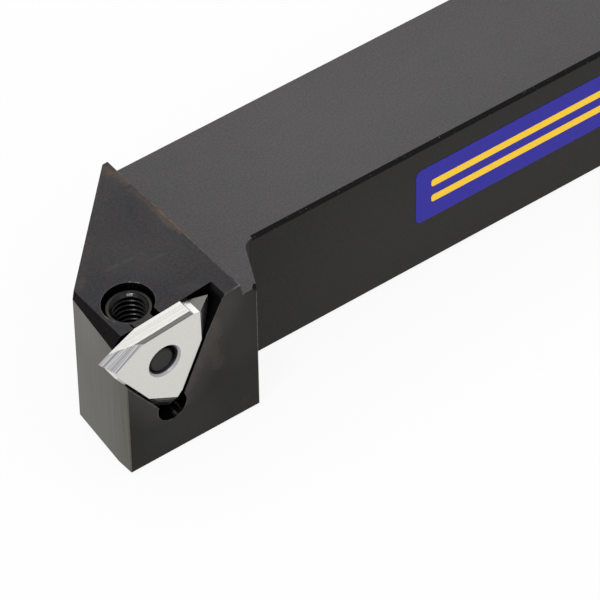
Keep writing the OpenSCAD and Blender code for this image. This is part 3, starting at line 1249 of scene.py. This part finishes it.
@dataclass
class DrawPin:
    """The barrel with its inner thread, its nose and its pin."""

    frame: dict
    bore: Bore
    helix: HelixTree
    edge_break: float = 0.07
    tap: Thread = Thread("tap", -7.35, 14.0, 3.0, 2.42, 3.0, 0.0)
    barrel_r: float = 3.75
    nose_y: float = -17.5

    def build(self) -> None:
        """Makes the piece and cuts its thread."""
        steel = OiledSteel("nose_steel", (0.037, 0.0362, 0.035), 0.42, 1.0).build()
        # A bare patch on the barrel's mouth chamfer, painted pale as the highlight where the lamp glints on
        # it.
        mouth_highlight = (Mark((-21.72, -10.8, 24.81), (-21.28, -11.18, 24.85), 0.3, 0.4),)
        oiled = OiledSteel("barrel_steel", (0.019, 0.0185, 0.0185), 0.26, 0.8, mouth_highlight).build()
        dark = OiledSteel("pin_steel", (0.036, 0.035, 0.034), 0.42, 0.8).build()
        piece = merged_copy(self.frame, "draw_pin")
        break_edges(piece, self.edge_break)
        tap = self.helix.wind(self.tap, self.bore, oiled)
        cutter = piece.modifiers.new("tap", "BOOLEAN")
        cutter.operation = "DIFFERENCE"
        cutter.solver = "EXACT"
        cutter.object = tap
        settle(piece)
        bpy.data.objects.remove(tap)
        smooth(piece)
        lay_marks(piece.data, self.bore.lay)
        paint(piece, [steel, oiled, dark], self.part)
        dress(piece, Body.PIN, Slot.DARK_STEEL, "draw_pin")

    def part(self, face: Face) -> PinPart:
        """Tells which part of the pin a face belongs to.

        Args:
            face: The face.

        Returns:
            The part.
        """
        axis = Vector(self.bore.axis)
        if face.center.y < self.nose_y * MM:
            return PinPart.PIN
        within = (face.center - Vector(self.bore.point)).cross(axis).length < self.barrel_r * MM
        return PinPart.BARREL if within and face.normal.dot(axis) < 0.9 else PinPart.NOSE


@dataclass
class ClampScrew:
    """The screw that draws the pin down, with a wound thread on its upper end."""

    frame: dict
    bore: Bore
    helix: HelixTree
    edge_break: float = 0.07
    thread: Thread = Thread("screw_thread", -5.35, 5.55, 2.92, 2.38, 2.1, 2.0)

    def build(self) -> None:
        """Makes the screw with its thread."""
        steel = OiledSteel("screw_steel", (0.026, 0.026, 0.027)).build()
        piece = merged_copy(self.frame, "clamp_screw")
        break_edges(piece, self.edge_break)
        thread = self.helix.wind(self.thread, self.bore, steel)
        build = bmesh.new()
        build.from_mesh(piece.data)
        build.from_mesh(thread.data)
        build.to_mesh(piece.data)
        build.free()
        bpy.data.objects.remove(thread)
        smooth(piece)
        lay_marks(piece.data, self.bore.lay)
        paint(piece, [steel])
        dress(piece, Body.SCREW, Slot.DARK_STEEL, "clamp_screw")


# Studio


@dataclass(frozen=True)
class Lamp:
    """A soft lamp that faces the tool's head, with its place and size in metres."""

    name: str
    place: Point
    size: float
    power: float

    def build(self, target: Vector) -> None:
        """Adds the lamp.

        Args:
            target: The place that it faces.
        """
        light = bpy.data.lights.new(self.name, "AREA")
        light.shape = "DISK"
        light.size = self.size
        light.energy = self.power
        lamp = linked(bpy.data.objects.new(self.name, light))
        lamp.location = self.place
        lamp.rotation_euler = (target - Vector(self.place)).to_track_quat("-Z", "Y").to_euler()


@dataclass
class Studio:
    """Pale floor, soft lamps and the camera at the photograph's angle, with places in metres."""

    focal: float = 287.34
    sensor: float = 36.0
    nearest: float = 0.01
    camera_place: Point = (-0.30132, -0.43340, 0.52145)
    azimuth: float = -36.375
    elevation: float = 44.557
    roll: float = -0.974
    floor_half: float = 1.5
    floor_z: float = -0.00005
    floor_tones: Flat = (0.8, 0.82)
    floor_glow: float = 0.9
    air_light: float = 0.9
    target: Point = (-0.02, -0.01, 0.015)
    lamps: tuple[Lamp, ...] = (
        Lamp("lamp_back", (0.45, 0.62, 0.85), 0.5, 0.9),
        Lamp("lamp_top", (-0.353, -0.162, 1.06), 0.2, 2.0),
        Lamp("lamp_left", (-0.95, -0.2, 0.5), 0.5, 1.0),
        Lamp("lamp_front", (-0.2, -0.9, 0.8), 0.7, 1.0),
    )

    def build(self) -> None:
        """Builds the whole studio."""
        self.build_camera()
        self.build_floor()
        self.build_world()
        for lamp in self.lamps:
            lamp.build(Vector(self.target))
        bpy.context.scene.view_settings.view_transform = "Standard"

    def build_camera(self) -> None:
        """Adds the camera from its angles."""
        az, el, roll = (math.radians(angle) for angle in (self.azimuth, self.elevation, self.roll))
        back = Vector((math.cos(el) * math.sin(az), -math.cos(el) * math.cos(az), math.sin(el)))
        level = Vector((math.cos(az), math.sin(az), 0.0))
        upright = back.cross(level)
        right = math.cos(roll) * level + math.sin(roll) * upright
        up = math.cos(roll) * upright - math.sin(roll) * level
        lens = bpy.data.cameras.new("camera")
        lens.lens = self.focal
        lens.sensor_width = self.sensor
        lens.clip_start = self.nearest
        camera = linked(bpy.data.objects.new("camera", lens))
        turn = Matrix((right, up, back)).transposed().to_4x4()
        camera.matrix_world = Matrix.Translation(self.camera_place) @ turn
        bpy.context.scene.camera = camera

    @staticmethod
    def seen(graph: Graph) -> Socket:
        """Gives 1 for what the camera sees, straight, by reflection or through glass.

        Args:
            graph: The nodes of the floor or of the world.

        Returns:
            A value output.
        """
        path = graph.make("ShaderNodeLightPath")
        reflected = path.sibling("Is Glossy Ray") + path.sibling("Is Transmission Ray")
        return (path.sibling("Is Camera Ray") + reflected).clamped()

    def build_floor(self) -> None:
        """Adds the white floor, which keeps a faint shadow and is clear from below."""
        s = Surface("floor_paper")
        seen = self.seen(s)
        fibre = s.noise(s.place, scale=0.02)
        tone = s.mixed(fibre, *((level, level, level, 1.0) for level in self.floor_tones))
        paper = s.make("ShaderNodeBsdfDiffuse", {"Color": tone})
        glow = s.make("ShaderNodeEmission", {"Color": WHITE})
        mixed = s.make("ShaderNodeMixShader", {0: seen * self.floor_glow, 1: paper, 2: glow})
        below = s.make("ShaderNodeNewGeometry").sibling("Backfacing")
        clear = s.make("ShaderNodeBsdfTransparent")
        sheet = s.make("ShaderNodeMixShader", {0: below, 1: mixed, 2: clear})
        s.make("ShaderNodeOutputMaterial", {"Surface": sheet})
        half = self.floor_half
        build = bmesh.new()
        corners = ((-half, -half), (half, -half), (half, half), (-half, half))
        build.faces.new([build.verts.new((x, y, self.floor_z)) for x, y in corners])
        floor = built("floor", build)
        floor.data.materials.append(s.material)

    def build_world(self) -> None:
        """Lights the world softly and shows it white."""
        world = bpy.data.worlds.new("studio_air")
        world.use_nodes = True
        bpy.context.scene.world = world
        g = Graph(world.node_tree)
        g.tree.nodes.clear()
        strength = self.air_light + self.seen(g) * (1.0 - self.air_light)
        light = g.make("ShaderNodeBackground", {"Color": WHITE, "Strength": strength})
        g.make("ShaderNodeOutputWorld", {"Surface": light})


def main() -> None:
    """Builds the scene piece by piece."""
    logging.basicConfig(level=logging.INFO, format="%(name)s: %(message)s")
    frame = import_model()
    turn = next(joint for joint in frame["joints"] if joint["type"] == "hinge")
    bore = Bore(tuple(turn["pos_m"]), tuple(-value for value in turn["axis"]))
    Studio().build()
    helix = HelixTree()
    HolderBody(frame, bore).build()
    PrintedBand().build()
    RidgedInsert(frame).build()
    DrawPin(frame, bore, helix).build()
    ClampScrew(frame, bore, helix).build()


if __name__ == "__main__":
    main()
